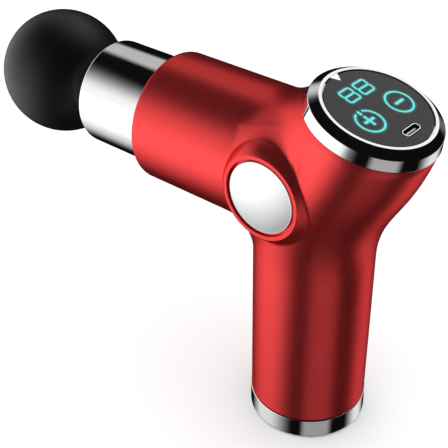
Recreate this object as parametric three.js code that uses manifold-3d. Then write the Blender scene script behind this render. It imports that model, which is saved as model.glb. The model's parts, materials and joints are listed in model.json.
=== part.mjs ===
// Pocket massage gun: a one-piece casing with handle, barrel and rear limb, a sliding head driven by a
// crank and yoke, a touch panel and a battery pack. Units are millimetres and +Z is up. The barrel points
// along -X, and the origin is the centre of the flat pad under the handle.
import * as THREE from 'three';
import { mergeVertices } from 'three/addons/utils/BufferGeometryUtils.js';
import Module from 'manifold-3d';

const wasm = await Module();
wasm.setup();

// ---------------------------------------------------------------- driving dimensions
const GAP = 0.3; // clearance between neighbouring pieces

const HANDLE = { radius: 23.2, wall: 2.5, bottom: 9.25, straightTo: 76.5 };
const BARREL = { radius: 26, wall: 1.9, z: 110.6, mouth: -68.9, faceThickness: 3, root: -4 };
const HUB = { x: -5.2, z: 110.6 };
const BOSS = { radius: 16.1, face: 27.6, skirtRadius: 19.6, skirt: 24.1, root: 16 };
const RECESS = { radius: 14.2, floor: 26 };
const SIDE_CAP = { radius: 13.8, edge: 0.3, rim: 27, domeRadius: 8, dome: 27.8, top: 28.2 };
const PANEL = { x: 22.6, z: 144, tilt: THREE.MathUtils.degToRad(17.4), seat: 6.2, limbRadius: 24.3 };
const LIMB = { bulge: 1.6, lowerHandle: 28.6, upperHandle: 30, arrival: THREE.MathUtils.degToRad(16.7) };

const SLEEVE = { radius: 21.6, wall: 0.8, front: -103, flangeRadius: 23.3, flange: 2, mouthRadius: 12.6 };
const BALL = { radius: 26, x: -134, cavity: 23.8 };
const STEM = { radius: 6.8, bore: 3.6, rear: -70, collarRadius: 8.6, barbRadius: 9.5 };
const PISTON = { radius: 8.6, front: -102.5, rodRadius: 5, socketEnd: -67.5, shoulder: -62 };

const CRANK = { x: -7.3, throw: 3, pinRadius: 1.5, bushRadius: 3, weightRadius: 10, reach: 11.2 };
const YOKE = { thickness: 5, halfWidth: 8, halfHeight: 11, sideClearance: 0.8 };
const MOTOR = { radius: 12, shaftRadius: 1.5, plate: 7.7, plateThickness: 1.6 };
const REAR_LUG = { bore: 7.7, front: -44, rear: -34 };

const CELL = { radius: 9, length: 65, bottom: 14, spacing: 0.4 };
const CAP = { radius: 23.5, spigotRadius: 20.2 };
const PAD = { radius: 22, thickness: 1.6 };
const USB = { x: 13.3, width: 8.94, height: 3.16, wall: 0.35, depth: 7.2 };

const ROUND = 32; // facets round a large piece that shows
const HIDDEN = 20; // facets round a large piece inside
const FINE = 12; // facets round a small piece

// ---------------------------------------------------------------- materials
const finish = (color, metalness, roughness, extra = {}) =>
  new THREE.MeshStandardMaterial({ color, metalness, roughness, ...extra });

const MATERIAL = {
  red: () => finish(0xb81f24, 0.6, 0.38),
  chrome: () => finish(0xdedfe2, 1, 0.08),
  pearl: () => finish(0xd4d6d9, 0.4, 0.35),
  blackFoam: () => finish(0x16161a, 0, 0.8),
  blackPlastic: () => finish(0x202024, 0, 0.55),
  glass: () => finish(0x2c2c30, 0, 0.15),
  rubber: () => finish(0x1c1c1f, 0, 0.85),
  aluminium: () => finish(0xb4b8bd, 0.9, 0.35),
  steel: () => finish(0x9a9da3, 1, 0.25),
  brass: () => finish(0xb08a45, 1, 0.3),
  acetal: () => finish(0xe6e4dc, 0, 0.45),
  copper: () => finish(0xa85a32, 0.8, 0.4),
  board: () => finish(0x14502e, 0.1, 0.5),
  cell: () => finish(0x2f6fb0, 0.1, 0.4),
  wrap: () => finish(0x1d4f8c, 0, 0.45),
  redLead: () => finish(0xc02020, 0, 0.5),
  blackLead: () => finish(0x161616, 0, 0.5),
  yellowLead: () => finish(0xc9a227, 0, 0.5),
  display: () => finish(0x0d2a2c, 0, 0.4),
};

// ---------------------------------------------------------------- solids and booleans
// Closes a geometry's seams and drops the zero-area facets that a turned profile has on its axis.
function weld(geometry) {
  const open = geometry.clone();
  open.deleteAttribute('normal');
  open.deleteAttribute('uv');
  const merged = mergeVertices(open, 1e-4);
  const { array } = merged.index;
  const kept = [];
  for (let i = 0; i < array.length; i += 3) {
    const [a, b, c] = [array[i], array[i + 1], array[i + 2]];
    if (a !== b && b !== c && a !== c) kept.push(a, b, c);
  }
  merged.setIndex(kept);
  return merged;
}

function solid(geometry) {
  const merged = weld(geometry);
  const mesh = new wasm.Mesh({
    numProp: 3,
    vertProperties: new Float32Array(merged.attributes.position.array),
    triVerts: new Uint32Array(merged.index.array),
  });
  return new wasm.Manifold(mesh);
}

function geometryOf(manifold) {
  const mesh = manifold.getMesh();
  const geometry = new THREE.BufferGeometry();
  geometry.setAttribute('position', new THREE.BufferAttribute(new Float32Array(mesh.vertProperties), 3));
  geometry.setIndex(new THREE.BufferAttribute(new Uint32Array(mesh.triVerts), 1));
  geometry.computeVertexNormals();
  return geometry;
}

const join = (...solids) => solids.reduce((sum, next) => sum.add(next));
const cut = (base, ...tools) => tools.reduce((rest, tool) => rest.subtract(tool), base);

// ---------------------------------------------------------------- turned and extruded shapes
// A profile is a list of [radius, height]. A turned piece is made round Y and then laid along its own axis.
const turned = (profile, facets = ROUND) =>
  weld(new THREE.LatheGeometry(profile.map(([r, h]) => new THREE.Vector2(r, h)), facets));

const ring = (inner, outer, low, high) =>
  [[inner, low], [outer, low], [outer, high], [inner, high], [inner, low]];
const disc = (radius, low, high) => [[0, low], [radius, low], [radius, high], [0, high]];

// Heights run along +Z.
const alongZ = (profile, facets) => turned(profile, facets).rotateX(Math.PI / 2);
// Heights run along +X, on the barrel's axis.
const alongX = (profile, facets) => turned(profile, facets).rotateZ(-Math.PI / 2).translate(0, 0, BARREL.z);
// Heights run along +Y, through the crank's axis or any other point of the XZ plane.
const alongY = (profile, facets, x = CRANK.x, z = BARREL.z) => turned(profile, facets).translate(x, 0, z);

const block = (x, y, z, width, depth, height) =>
  new THREE.BoxGeometry(width, depth, height).translate(x, y, z);

// A slot shape with round ends, its length along Y.
function stadium(width, height) {
  const r = height / 2;
  const reach = width / 2 - r;
  const shape = new THREE.Shape();
  shape.absarc(0, reach, r, 0, Math.PI, false);
  shape.absarc(0, -reach, r, Math.PI, 2 * Math.PI, false);
  shape.closePath();
  return shape;
}

const extruded = (shape, low, high, curveSegments = 12) =>
  new THREE.ExtrudeGeometry(shape, { depth: high - low, bevelEnabled: false, curveSegments })
    .translate(0, 0, low);

// ---------------------------------------------------------------- casing
// The trunk is a round tube that is straight in the handle and then leans back to the touch panel. Its
// sections turn from level to the panel's tilt.
const panelNormal = new THREE.Vector3(Math.sin(PANEL.tilt), 0, Math.cos(PANEL.tilt));
const panelCentre = new THREE.Vector3(PANEL.x, 0, PANEL.z);
const trunkLine = new THREE.CubicBezierCurve3(
  new THREE.Vector3(0, 0, HANDLE.straightTo),
  new THREE.Vector3(0, 0, HANDLE.straightTo + LIMB.lowerHandle),
  new THREE.Vector3(
    PANEL.x - LIMB.upperHandle * Math.sin(LIMB.arrival),
    0,
    PANEL.z - LIMB.upperHandle * Math.cos(LIMB.arrival),
  ),
  panelCentre,
);

function trunkSection(t) {
  const eased = t * t * (3 - 2 * t);
  return {
    centre: trunkLine.getPoint(t),
    angle: PANEL.tilt * eased,
    radius: HANDLE.radius + (PANEL.limbRadius - HANDLE.radius) * eased + LIMB.bulge * 16 * (t * (1 - t)) ** 2,
  };
}

function trunk(inset, bottom, overrun, facets, rows) {
  const geometry = new THREE.CylinderGeometry(1, 1, 1, facets, rows).rotateX(Math.PI / 2);
  const position = geometry.attributes.position;
  for (let i = 0; i < position.count; i += 1) {
    const row = Math.round((position.getZ(i) + 0.5) * rows);
    const t = Math.min(Math.max(0, (row - 1) / (rows - 2)), 1);
    const { centre, angle, radius } = trunkSection(t);
    const across = position.getX(i) * (radius - inset);
    const past = row === rows ? overrun : 0;
    const x = centre.x + across * Math.cos(angle) + past * panelNormal.x;
    const z = centre.z - across * Math.sin(angle) + past * panelNormal.z;
    position.setXYZ(i, x, position.getY(i) * (radius - inset), row === 0 ? bottom : z);
  }
  return solid(geometry);
}

// The round boss has a conical skirt down to the casing.
const bossProfile = [
  [0, BOSS.root],
  [BOSS.skirtRadius, BOSS.root],
  [BOSS.skirtRadius, BOSS.skirt],
  [BOSS.radius, BOSS.face],
  [0, BOSS.face],
];

// Both sides of the casing carry the same boss, so a side tool is used as it is and turned half round X.
function bothSides(profile, facets) {
  const right = alongY(profile, facets, HUB.x, HUB.z);
  const left = turned(profile, facets).rotateX(Math.PI).translate(HUB.x, 0, HUB.z);
  return join(solid(right), solid(left));
}

function bodyShell() {
  const { radius, wall, mouth, faceThickness, root } = BARREL;
  const barrelEdge = 1.2;
  const barrel = solid(alongX([
    [0, mouth],
    [radius - barrelEdge, mouth],
    [radius, mouth + barrelEdge],
    [radius, root],
    [0, root],
  ]));
  const outer = join(trunk(0, HANDLE.bottom + GAP, 6, ROUND, 11), barrel, bothSides(bossProfile));

  const wideBore = solid(alongX(disc(radius - wall, mouth + faceThickness, -36), HIDDEN));
  const hubBore = solid(alongX(disc(21.6, -37, 4), HIDDEN));
  const mouthBore = solid(alongX(disc(SLEEVE.radius + GAP, mouth - 1, mouth + faceThickness + 1)));
  const hollow = join(trunk(HANDLE.wall, 0, 10, HIDDEN + 4, 7), wideBore, hubBore);

  const recess = bothSides(disc(RECESS.radius, RECESS.floor, BOSS.face + 2));
  const seat = new THREE.BoxGeometry(80, 80, 40).translate(0, 0, 20 - PANEL.seat - GAP);
  seat.rotateY(PANEL.tilt).translate(PANEL.x, 0, PANEL.z);
  return geometryOf(cut(outer, hollow, mouthBore, recess, solid(seat)));
}

const sideCapProfile = [
  [0, RECESS.floor + GAP],
  [SIDE_CAP.radius - SIDE_CAP.edge, RECESS.floor + GAP],
  [SIDE_CAP.radius, RECESS.floor + GAP + SIDE_CAP.edge],
  [SIDE_CAP.radius, SIDE_CAP.rim],
  [SIDE_CAP.domeRadius, SIDE_CAP.dome],
  [0, SIDE_CAP.top],
];

// ---------------------------------------------------------------- front sleeve and guides
function frontSleeve() {
  const { radius, wall, front, flangeRadius, flange, mouthRadius } = SLEEVE;
  const flangeFront = BARREL.mouth + BARREL.faceThickness + GAP;
  const lip = 1.5;
  return alongX([
    [mouthRadius, front + 0.2],
    [mouthRadius + 0.5, front],
    [radius - lip, front],
    [radius - 0.4, front + 0.5],
    [radius, front + lip],
    [radius, flangeFront],
    [flangeRadius, flangeFront],
    [flangeRadius, flangeFront + flange],
    [radius - wall, flangeFront + flange],
    [radius - wall, front + 1.5],
    [mouthRadius, front + 1.5],
    [mouthRadius, front + 0.2],
  ]);
}

// A plastic spool inside the sleeve that carries the front bush.
function pistonGuide() {
  const outer = SLEEVE.radius - SLEEVE.wall - GAP;
  const [front, rear] = [SLEEVE.front + 1.5 + GAP, -66];
  const [bore, hub, web] = [11.8, 12.9, 1.4];
  return alongX([
    [bore, front],
    [outer, front],
    [outer, front + web],
    [hub, front + web],
    [hub, rear - web],
    [outer, rear - web],
    [outer, rear],
    [bore, rear],
    [bore, front],
  ], HIDDEN);
}

const frontSeal = () =>
  alongX(ring(PISTON.radius + GAP, SLEEVE.mouthRadius - GAP, -102.8, -101.6), HIDDEN);
const frontBush = () => alongX(ring(PISTON.radius + GAP, 11.5, -88, -74), HIDDEN);
const rearBush = () => alongX(ring(PISTON.rodRadius + GAP, 7.4, REAR_LUG.front, REAR_LUG.rear), FINE);

// ---------------------------------------------------------------- head
function massageBall() {
  const { radius, x, cavity } = BALL;
  const ball = new THREE.SphereGeometry(radius, 24, 16).rotateZ(Math.PI / 2).translate(x, 0, BARREL.z);
  const hollow = new THREE.SphereGeometry(cavity, 12, 8).rotateZ(Math.PI / 2).translate(x, 0, BARREL.z);
  const neck = alongX(disc(STEM.radius + GAP, x + 12, x + radius + 4), FINE);
  return geometryOf(cut(solid(ball), join(solid(hollow), solid(neck))));
}

function headStem() {
  const { radius, bore, rear, collarRadius, barbRadius } = STEM;
  const collar = PISTON.front - GAP;
  const barb = BALL.x + 20.5;
  const groove = { low: -81, high: -79, radius: 5.2 };
  return alongX([
    [bore, barb - 2.5],
    [7.5, barb - 2.5],
    [barbRadius, barb],
    [radius, barb],
    [radius, collar - 3.7],
    [collarRadius, collar - 3.7],
    [collarRadius, collar],
    [radius, collar],
    [radius, groove.low],
    [groove.radius, groove.low],
    [groove.radius, groove.high],
    [radius, groove.high],
    [radius, rear - 1],
    [radius - 1, rear],
    [bore, rear],
    [bore, barb - 2.5],
  ], FINE);
}

const stemRing = () =>
  weld(new THREE.TorusGeometry(6.15, 0.65, 8, FINE)).rotateY(Math.PI / 2).translate(-80, 0, BARREL.z);

// ---------------------------------------------------------------- piston and crank
// The piston is a tube with a socket for the head's stem, then a rod, then a flat yoke. The crank bush
// runs in the yoke's upright slot.
function piston() {
  const { radius, front, rodRadius, socketEnd, shoulder } = PISTON;
  const socket = STEM.radius + GAP;
  const rodEnd = CRANK.x - CRANK.reach;
  const tube = alongX([
    [socket, front],
    [radius, front],
    [radius, shoulder],
    [rodRadius, shoulder],
    [rodRadius, rodEnd],
    [0, rodEnd],
    [0, socketEnd],
    [socket, socketEnd],
    [socket, front],
  ], HIDDEN);
  const neck = block(rodEnd, 0, BARREL.z, 10, YOKE.thickness, 2 * rodRadius - 2);
  const plate = block(CRANK.x, 0, BARREL.z, 2 * YOKE.halfWidth, YOKE.thickness, 2 * YOKE.halfHeight);
  const slotWidth = 2 * (CRANK.bushRadius + YOKE.sideClearance);
  const slotReach = CRANK.throw + CRANK.bushRadius + YOKE.sideClearance;
  // The slot is centred on the pin's path as the coupled slide moves, so it sits at the pin's rest place.
  const slot = block(CRANK.x + CRANK.throw, 0, BARREL.z, slotWidth, YOKE.thickness + 2, 2 * slotReach);
  return geometryOf(cut(join(solid(tube), solid(neck), solid(plate)), solid(slot)));
}

function crankDisc() {
  const [low, high] = [3.1, 6.3];
  const middle = (low + high) / 2;
  const hole = CRANK.pinRadius + GAP;
  const round = solid(alongY(disc(7, low, high), 24));
  const weightShape = new THREE.Shape();
  weightShape.absarc(0, 0, CRANK.weightRadius, Math.PI * 0.62, Math.PI * 1.38, false);
  weightShape.lineTo(0, 0);
  const weight = new THREE.ExtrudeGeometry(weightShape, { depth: high - low, bevelEnabled: false });
  weight.rotateX(Math.PI / 2).translate(CRANK.x, high, BARREL.z);
  const pinHole = alongY(disc(hole, low - 1, middle - 0.2), 16, CRANK.x + CRANK.throw);
  const shaftHole = alongY(disc(hole, middle + 0.2, high + 1), 16);
  return geometryOf(cut(join(round, solid(weight)), solid(pinHole), solid(shaftHole)));
}

const crankPin = () =>
  alongY(disc(CRANK.pinRadius, -2.8, 4.2), 16, CRANK.x + CRANK.throw);
const crankBush = () =>
  alongY(ring(CRANK.pinRadius + GAP, CRANK.bushRadius, -2.3, 2.3), FINE, CRANK.x + CRANK.throw);

// ---------------------------------------------------------------- motor
const screwSpots = { motor: [[6.3, 0], [-6.3, 0]], frame: [21.5, -21.5] };

function motorBase() {
  const flange = solid(alongY(ring(3.3, 8, 9.6, 10.6), 24));
  const tube = solid(alongY(ring(3.3, 4.2, 10.2, 15.4), FINE));
  const holes = screwSpots.motor.map(([x, z]) =>
    solid(alongY(disc(1, 9, 11.2), 8, CRANK.x + x, BARREL.z + z)));
  return geometryOf(cut(join(flange, tube), ...holes));
}

// Nine wound teeth round the bearing tube.
function motorStator() {
  const core = solid(alongY(ring(4.5, 6.2, 11, 15.4), 36));
  const teeth = [];
  const count = 9;
  for (let i = 0; i < count; i += 1) {
    const tooth = new THREE.BoxGeometry(4.6, 4.4, 2.2).translate(8, 13.2, 0);
    tooth.rotateY((2 * Math.PI * i) / count).translate(CRANK.x, 0, BARREL.z);
    teeth.push(solid(tooth));
  }
  return geometryOf(join(core, ...teeth));
}

const motorRotor = () => alongY([
  [MOTOR.shaftRadius + GAP, 15.9],
  [MOTOR.radius - 1.3, 15.9],
  [MOTOR.radius - 1.3, 11],
  [MOTOR.radius, 11],
  [MOTOR.radius, 16.8],
  [MOTOR.radius - 0.6, 17.4],
  [MOTOR.shaftRadius + GAP, 17.4],
  [MOTOR.shaftRadius + GAP, 15.9],
], 24);

const motorBearing = (low) => alongY(ring(MOTOR.shaftRadius + GAP, 3, low, low + 2), FINE);
const motorShaft = () => alongY(disc(MOTOR.shaftRadius, 5.1, 18), 16);

const screwProfile = (head, neck, tip) => [
  [0, head],
  [1.4, head],
  [1.4, neck],
  [0.7, neck],
  [0.7, tip],
  [0, tip],
];
const motorScrew = ([x, z]) =>
  alongY(screwProfile(6.7, 7.4, 10.5), 8, CRANK.x + x, BARREL.z + z);
const frameScrew = (z) =>
  turned(screwProfile(0, 1, 5.4), 8).rotateZ(Math.PI / 2).translate(-60, 0, BARREL.z + z);

// The frame is a bulkhead behind the sleeve, a lug for the rear bush and the plate that carries the motor.
function driveFrame() {
  const { plate, plateThickness } = MOTOR;
  const bulkheadFront = BARREL.mouth + BARREL.faceThickness + SLEEVE.flange + 2 * GAP;
  const bulkhead = solid(alongX(ring(PISTON.radius + 0.8, 22.8, bulkheadFront, bulkheadFront + 2), HIDDEN));
  const lug = solid(alongX(ring(REAR_LUG.bore, 10.8, REAR_LUG.front, REAR_LUG.rear), HIDDEN));
  const outline = new THREE.Shape();
  outline.absarc(CRANK.x, 0, 13, -Math.PI * 0.72, Math.PI * 0.72, false);
  outline.lineTo(bulkheadFront + 1, 8);
  outline.lineTo(bulkheadFront + 1, -8);
  outline.closePath();
  const web = extruded(outline, 0, plateThickness).rotateX(Math.PI / 2)
    .translate(0, plate + plateThickness, BARREL.z);
  const bearingHole = solid(alongY(disc(4.6, plate - 1, plate + plateThickness + 1), FINE));
  const screwHoles = [
    ...screwSpots.motor.map(([x, z]) =>
      solid(alongY(disc(1, plate - 1, plate + 3), 8, CRANK.x + x, BARREL.z + z))),
    ...screwSpots.frame.map((z) =>
      solid(turned(disc(1, -1, 8), 8).rotateZ(Math.PI / 2).translate(-58, 0, BARREL.z + z))),
  ];
  const rodWay = solid(alongX(disc(REAR_LUG.bore, PISTON.shoulder, REAR_LUG.rear + 4), HIDDEN));
  const pistonWay = solid(alongX(disc(PISTON.radius + 0.8, -70, -59), HIDDEN));
  const body = join(bulkhead, lug, solid(web));
  return geometryOf(cut(body, rodWay, pistonWay, bearingHole, ...screwHoles));
}

function drilledSleeve() {
  const holes = screwSpots.frame.map((z) =>
    solid(turned(disc(1, -1, 7), 8).rotateZ(Math.PI / 2).translate(-60, 0, BARREL.z + z)));
  return geometryOf(cut(solid(frontSleeve()), ...holes));
}

// ---------------------------------------------------------------- touch panel, in its own frame
// The panel group's origin is the middle of the glass's face, z is out of the glass and x is rearwards.
const panelRing = 19.45;
const boardScrewAngles = [90, 210, 330].map(THREE.MathUtils.degToRad);
const boardScrewRadius = 18.6;

const panelBezel = () => alongZ([
  [18, -3],
  [20.2, -3.6],
  [20.2, -9],
  [21, -9],
  [21, -PANEL.seat],
  [24.6, -PANEL.seat],
  [23.8, -1.95],
  [20.7, 0.3],
  [panelRing, 0.3],
  [panelRing, -1.5],
  [18, -1.5],
  [18, -3],
]);

function slottedDisc(radius, low, high) {
  const slotGap = 2 * GAP;
  const shape = new THREE.Shape();
  shape.absarc(0, 0, radius, 0, 2 * Math.PI, false);
  const slot = stadium(USB.width + slotGap, USB.height + slotGap).getPoints(5);
  shape.holes.push(new THREE.Path(slot.map(({ x, y }) => new THREE.Vector2(x + USB.x, y))));
  return weld(extruded(shape, low, high, ROUND));
}

function usbPort() {
  const shape = stadium(USB.width, USB.height);
  const mouth = stadium(USB.width - 2 * USB.wall, USB.height - 2 * USB.wall);
  shape.holes.push(new THREE.Path(mouth.getPoints(5)));
  return weld(extruded(shape, -USB.depth, 0.1, 5).translate(USB.x, 0, 0));
}

function usbTongue() {
  const base = extruded(stadium(USB.width - 1.4, USB.height - 1.4), -USB.depth, -USB.depth + 1, 5);
  const tongue = block(0, 0, -USB.depth / 2 - 0.4, 0.7, 6.6, USB.depth - 0.9);
  return geometryOf(join(solid(base), solid(tongue)).translate([USB.x, 0, 0]));
}

const boardScrewHole = (angle, low, high) =>
  solid(alongZ(disc(1, low, high), 8)
    .translate(boardScrewRadius * Math.cos(angle), boardScrewRadius * Math.sin(angle), 0));

function displayFrame() {
  const body = solid(alongZ(ring(17.3, 19.8, -7.4, -3.9), HIDDEN));
  return geometryOf(cut(body, ...boardScrewAngles.map((angle) => boardScrewHole(angle, -8, -5))));
}

function controlBoard() {
  const [low, high] = [-8.9, -7.8];
  const board = solid(alongZ(disc(19.7, low, high), HIDDEN));
  const parts = [
    block(-6, 0, low - 0.6, 7, 5.6, 1.4),
    block(4, -6, low - 0.8, 5, 5, 1.8),
    block(5, 6, low - 0.5, 4, 6, 1.2),
    block(-11, 9, low - 0.9, 4, 4, 2),
  ].map(solid);
  const holes = boardScrewAngles.map((angle) => boardScrewHole(angle, -10, -7));
  return geometryOf(cut(join(board, ...parts), ...holes));
}

const boardScrew = (angle) =>
  alongZ(screwProfile(-10, -9.2, -5.4), 8)
    .translate(boardScrewRadius * Math.cos(angle), boardScrewRadius * Math.sin(angle), 0);

// ---------------------------------------------------------------- battery pack
const cellRing = (CELL.radius + CELL.spacing / 2) / Math.cos(Math.PI / 6);
const cellAngles = [0, 120, 240].map((degrees) => THREE.MathUtils.degToRad(degrees + 60));

function batteryCell(angle) {
  const top = CELL.bottom + CELL.length;
  return alongZ([
    [0, CELL.bottom],
    [CELL.radius, CELL.bottom],
    [CELL.radius, top - 1],
    [3, top - 1],
    [3, top],
    [0, top],
  ], HIDDEN).translate(cellRing * Math.cos(angle), cellRing * Math.sin(angle), 0);
}

// The outline round all three cells, or round their middles.
function packOutline(radius) {
  const shape = new THREE.Shape();
  for (const angle of cellAngles) {
    const [x, y] = [cellRing * Math.cos(angle), cellRing * Math.sin(angle)];
    shape.absarc(x, y, radius, angle - Math.PI / 3, angle + Math.PI / 3, false);
  }
  shape.closePath();
  return shape;
}

function batteryWrap() {
  const shape = packOutline(CELL.radius + 0.6);
  shape.holes.push(new THREE.Path(packOutline(CELL.radius + GAP).getPoints(6)));
  return weld(extruded(shape, CELL.bottom - 1, CELL.bottom + CELL.length + 1, 6));
}

const nickelStrip = (low) => weld(extruded(packOutline(4), low, low + 0.3, 4));
const batterySpacer = (low, high) => alongZ(ring(6, 19.8, low, high), HIDDEN);

function batteryBoard() {
  const board = solid(alongZ(disc(18, 82.5, 83.7), HIDDEN));
  const plug = solid(block(10, 0, 85, 5, 9, 3.2));
  return geometryOf(join(board, plug));
}

// ---------------------------------------------------------------- leads
function lead(points, radius) {
  const path = new THREE.CatmullRomCurve3(points.map((p) => new THREE.Vector3(...p)));
  const section = new THREE.Shape();
  section.absarc(0, 0, radius, 0, 2 * Math.PI, false);
  return weld(new THREE.ExtrudeGeometry(section, { steps: 10, curveSegments: 2, extrudePath: path }));
}

const batteryLead = (y) =>
  lead([[10, y, 87], [12, y, 94], [16, 1.4 * y, 108], [19, 1.6 * y, 122], [19, 1.6 * y, 135.1]], 0.8);

// The three motor leads leave the edge of the frame's plate beside the motor.
function motorLead(i) {
  const y = 8.5 - 2.4 * i;
  const start = 104 + 4 * i;
  return lead([[7, 8.5, start], [10, 8.5 - 1.4 * i, start + 3], [13, y, 124], [13, y, 136.6]], 0.5);
}

// ---------------------------------------------------------------- handle's foot
const bottomCap = () => alongZ([
  [0, PAD.thickness + GAP],
  [PAD.radius + GAP, PAD.thickness + GAP],
  [PAD.radius + GAP, 0.4],
  [22.9, 0.4],
  [CAP.radius, 1.2],
  [CAP.radius, HANDLE.bottom],
  [CAP.spigotRadius, HANDLE.bottom],
  [CAP.spigotRadius, HANDLE.bottom + 1.4],
  [19.2, HANDLE.bottom + 1.4],
  [19.2, 9],
  [0, 9],
]);

const basePad = () => alongZ([
  [0, 0],
  [PAD.radius - 0.4, 0],
  [PAD.radius, 0.4],
  [PAD.radius, PAD.thickness],
  [0, PAD.thickness],
]);

// ---------------------------------------------------------------- assembly
const gun = new THREE.Group();
const panel = new THREE.Group();
panel.position.copy(panelCentre);
panel.rotation.y = PANEL.tilt;
gun.add(panel);

function add(name, geometry, material, parent = gun) {
  const mesh = new THREE.Mesh(geometry, material());
  mesh.name = name;
  parent.add(mesh);
}

add('body_shell', bodyShell(), MATERIAL.red);
add('side_cap_right', alongY(sideCapProfile, ROUND, HUB.x, HUB.z), MATERIAL.pearl);
add('side_cap_left', turned(sideCapProfile).rotateX(Math.PI).translate(HUB.x, 0, HUB.z), MATERIAL.pearl);

add('front_sleeve', drilledSleeve(), MATERIAL.chrome);
add('front_seal', frontSeal(), MATERIAL.rubber);
add('piston_guide', pistonGuide(), MATERIAL.blackPlastic);
add('piston_bush_front', frontBush(), MATERIAL.acetal);
add('piston_bush_rear', rearBush(), MATERIAL.acetal);
add('drive_frame', driveFrame(), MATERIAL.blackPlastic);
screwSpots.frame.forEach((z, i) => add(`frame_screw_${i + 1}`, frameScrew(z), MATERIAL.steel));

add('piston', piston(), MATERIAL.aluminium);
add('crank_disc', crankDisc(), MATERIAL.steel);
add('crank_pin', crankPin(), MATERIAL.steel);
add('crank_bush', crankBush(), MATERIAL.brass);

add('motor_base', motorBase(), MATERIAL.aluminium);
screwSpots.motor.forEach((spot, i) => add(`motor_screw_${i + 1}`, motorScrew(spot), MATERIAL.steel));
add('motor_bearing_inner', motorBearing(9.8), MATERIAL.steel);
add('motor_bearing_outer', motorBearing(13.2), MATERIAL.steel);
add('motor_stator', motorStator(), MATERIAL.copper);
add('motor_rotor', motorRotor(), MATERIAL.steel);
add('motor_shaft', motorShaft(), MATERIAL.steel);

add('massage_ball', massageBall(), MATERIAL.blackFoam);
add('head_stem', headStem(), MATERIAL.blackPlastic);
add('stem_ring', stemRing(), MATERIAL.rubber);

add('panel_bezel', panelBezel(), MATERIAL.chrome, panel);
add('panel_glass', slottedDisc(panelRing - GAP, -1.2, 0), MATERIAL.glass, panel);
add('touch_sensor', slottedDisc(17.6, -2.3, -1.6), MATERIAL.board, panel);
add('display_module', block(-9.6, 0, -3.9, 9, 18, 2.4), MATERIAL.display, panel);
add('display_frame', displayFrame(), MATERIAL.blackPlastic, panel);
add('control_board', controlBoard(), MATERIAL.board, panel);
boardScrewAngles.forEach((angle, i) => add(`board_screw_${i + 1}`, boardScrew(angle), MATERIAL.steel, panel));
add('usb_port', usbPort(), MATERIAL.steel, panel);
add('usb_tongue', usbTongue(), MATERIAL.blackPlastic, panel);

cellAngles.forEach((angle, i) => add(`battery_cell_${i + 1}`, batteryCell(angle), MATERIAL.cell));
add('battery_wrap', batteryWrap(), MATERIAL.wrap);
add('nickel_strip_bottom', nickelStrip(CELL.bottom - 0.7), MATERIAL.steel);
add('nickel_strip_top', nickelStrip(CELL.bottom + CELL.length + 0.4), MATERIAL.steel);
add('battery_spacer_bottom', batterySpacer(11, 12.6), MATERIAL.blackPlastic);
add('battery_spacer_top', batterySpacer(80.4, 82.1), MATERIAL.blackPlastic);
add('battery_board', batteryBoard(), MATERIAL.board);
add('battery_lead_red', batteryLead(2), MATERIAL.redLead);
add('battery_lead_black', batteryLead(-2), MATERIAL.blackLead);
[0, 1, 2].forEach((i) => add(`motor_lead_${i + 1}`, motorLead(i), MATERIAL.yellowLead));

add('bottom_cap', bottomCap(), MATERIAL.chrome);
add('base_pad', basePad(), MATERIAL.rubber);

export default gun;
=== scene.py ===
"""Looks of a pocket massage gun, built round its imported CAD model: a red satin casing, a bright front sleeve,
a black foam ball, two silver side caps and a round touch panel with lit icons.

Outlines are in millimetres and turn into metres when a mesh is made. A turned outline is a list of
(radius, height) or (radius, height, fillet) corners, with heights along the piece's own axis."""

import json
import math
from functools import partial
from itertools import product

import bmesh
import bpy
import numpy as np
from mathutils import Matrix, Vector


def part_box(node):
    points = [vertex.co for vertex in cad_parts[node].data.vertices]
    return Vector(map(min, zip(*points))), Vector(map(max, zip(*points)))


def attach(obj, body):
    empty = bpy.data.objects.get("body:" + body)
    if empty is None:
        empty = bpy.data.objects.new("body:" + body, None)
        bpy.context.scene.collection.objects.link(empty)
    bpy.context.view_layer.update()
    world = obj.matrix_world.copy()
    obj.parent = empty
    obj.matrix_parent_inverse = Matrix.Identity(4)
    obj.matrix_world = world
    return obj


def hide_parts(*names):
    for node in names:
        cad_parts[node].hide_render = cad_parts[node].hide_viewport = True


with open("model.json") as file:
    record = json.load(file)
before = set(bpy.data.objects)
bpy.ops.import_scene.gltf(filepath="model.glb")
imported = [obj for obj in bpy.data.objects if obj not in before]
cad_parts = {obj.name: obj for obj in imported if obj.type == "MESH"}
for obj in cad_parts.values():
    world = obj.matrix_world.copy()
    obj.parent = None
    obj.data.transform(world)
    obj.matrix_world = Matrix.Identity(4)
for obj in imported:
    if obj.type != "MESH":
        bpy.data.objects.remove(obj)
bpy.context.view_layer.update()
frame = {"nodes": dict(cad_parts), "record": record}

MM = 0.001


def span(node):
    """Lowest and highest corner of a CAD node, in millimetres."""
    low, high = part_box(node)
    return np.array(low) / MM, np.array(high) / MM


# ---------------------------------------------------------------- driving dimensions, from the frame
SHELL_LOW, SHELL_HIGH = span("body_shell")
SLEEVE_LOW, SLEEVE_HIGH = span("front_sleeve")
BALL_LOW, BALL_HIGH = span("massage_ball")
CAP_LOW, CAP_HIGH = span("bottom_cap")
PAD_LOW, PAD_HIGH = span("base_pad")
SIDE_LOW, SIDE_HIGH = span("side_cap_left")

BARREL_Z = (SLEEVE_LOW[2] + SLEEVE_HIGH[2]) / 2
BARREL_RADIUS = 26.0
MOUTH_X = SHELL_LOW[0]
SLEEVE_RADIUS = 21.6
HANDLE_RADIUS = 23.2
HUB_X, _, HUB_Z = (SIDE_LOW + SIDE_HIGH) / 2
SIDE_CAP_RADIUS = (SIDE_HIGH[2] - SIDE_LOW[2]) / 2

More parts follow.
